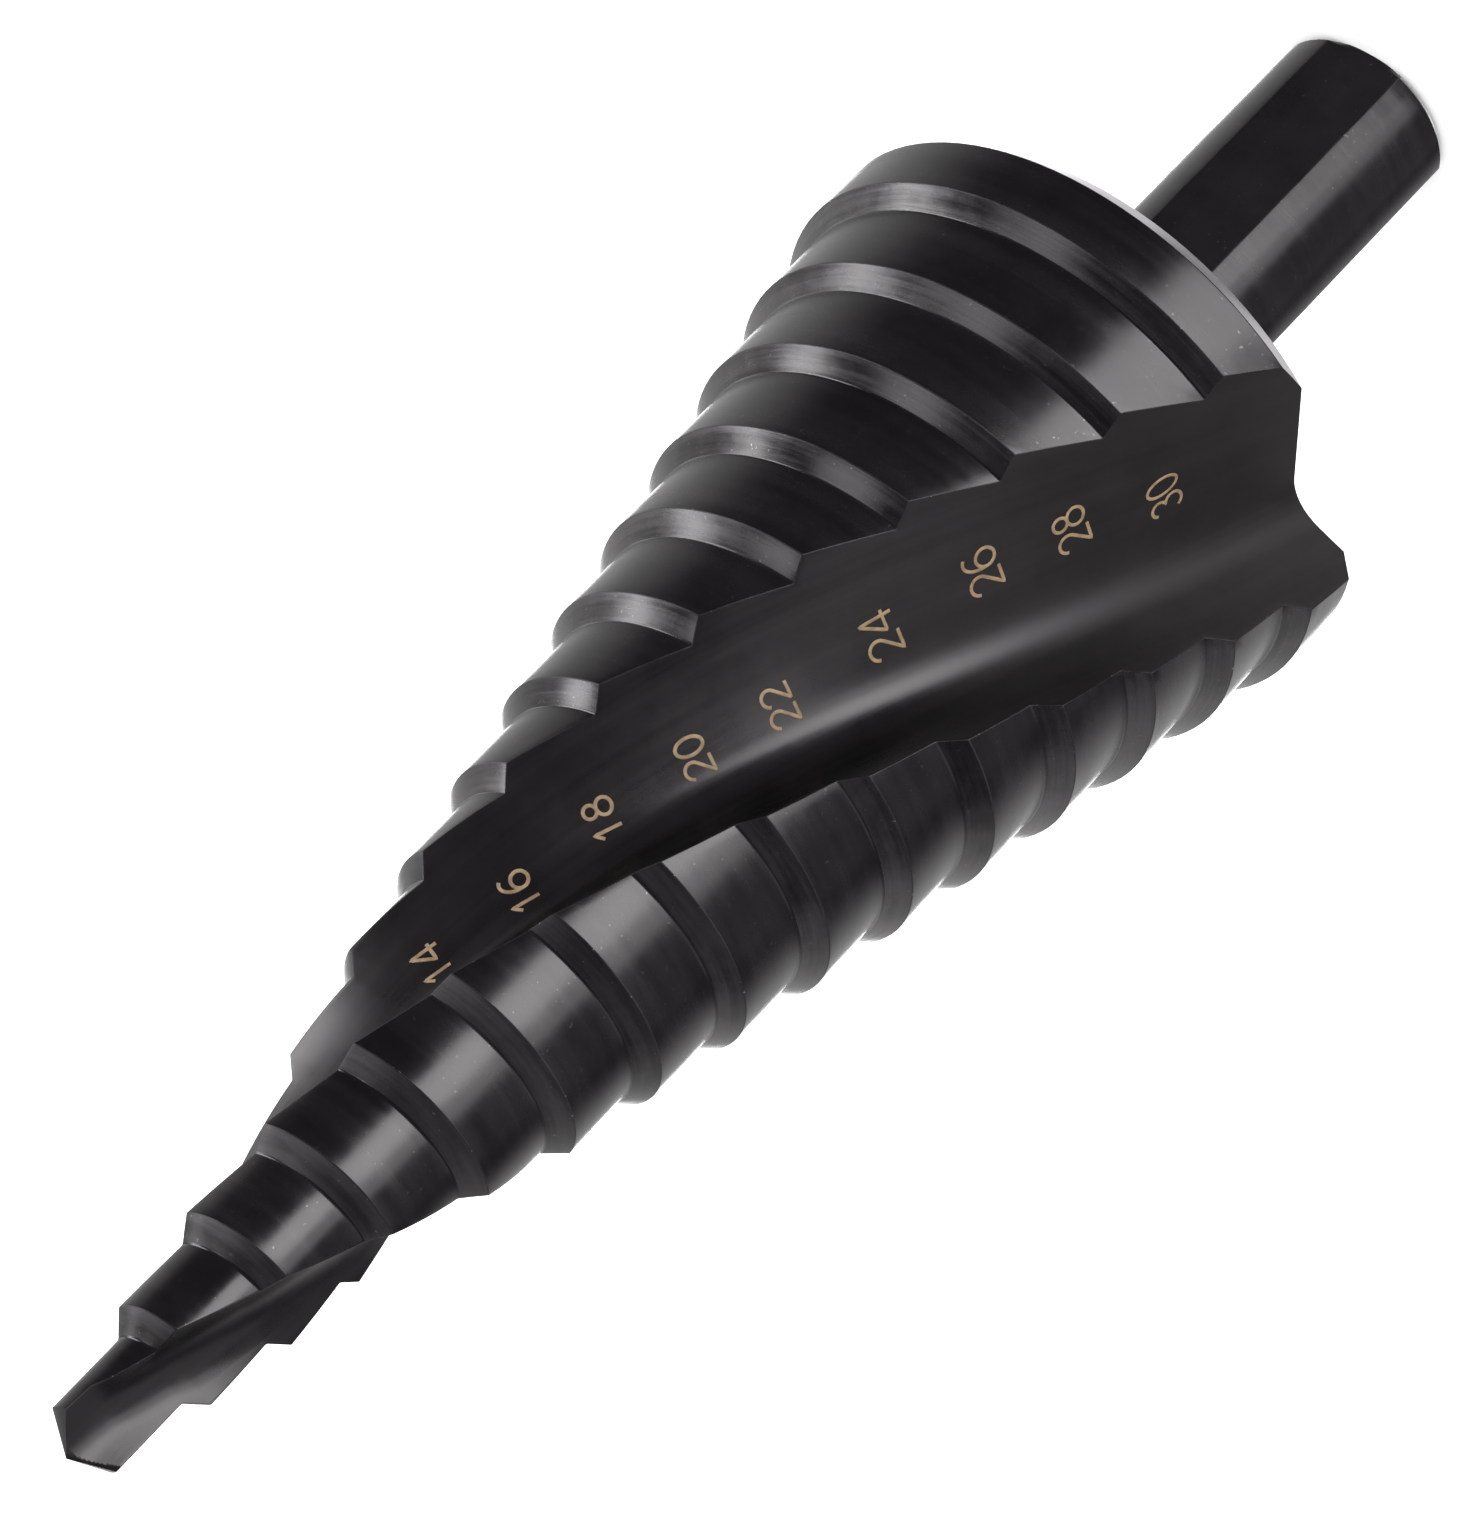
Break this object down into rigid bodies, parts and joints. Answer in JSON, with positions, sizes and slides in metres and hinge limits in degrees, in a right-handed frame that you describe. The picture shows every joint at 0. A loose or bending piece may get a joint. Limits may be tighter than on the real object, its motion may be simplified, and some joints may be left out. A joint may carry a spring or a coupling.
{
  "type": "step drill",
  "caption": "Cone-shaped step drill with straight steps, two spiral flutes, a self-starting point and a short shank with three flats.",
  "frame": {"origin": "centre of the shank's end face, on which the drill stands", "axes": "+Z along the drill's axis towards the point; -Y towards the side with the marked flute"},
  "size_m": [0.032, 0.032, 0.0987],
  "materials": {
    "black_oxide_steel": "ground high speed steel with a black oxide finish"
  },
  "bodies": {
    "root": {"step_drill": "black_oxide_steel"}
  },
  "joints": []
}
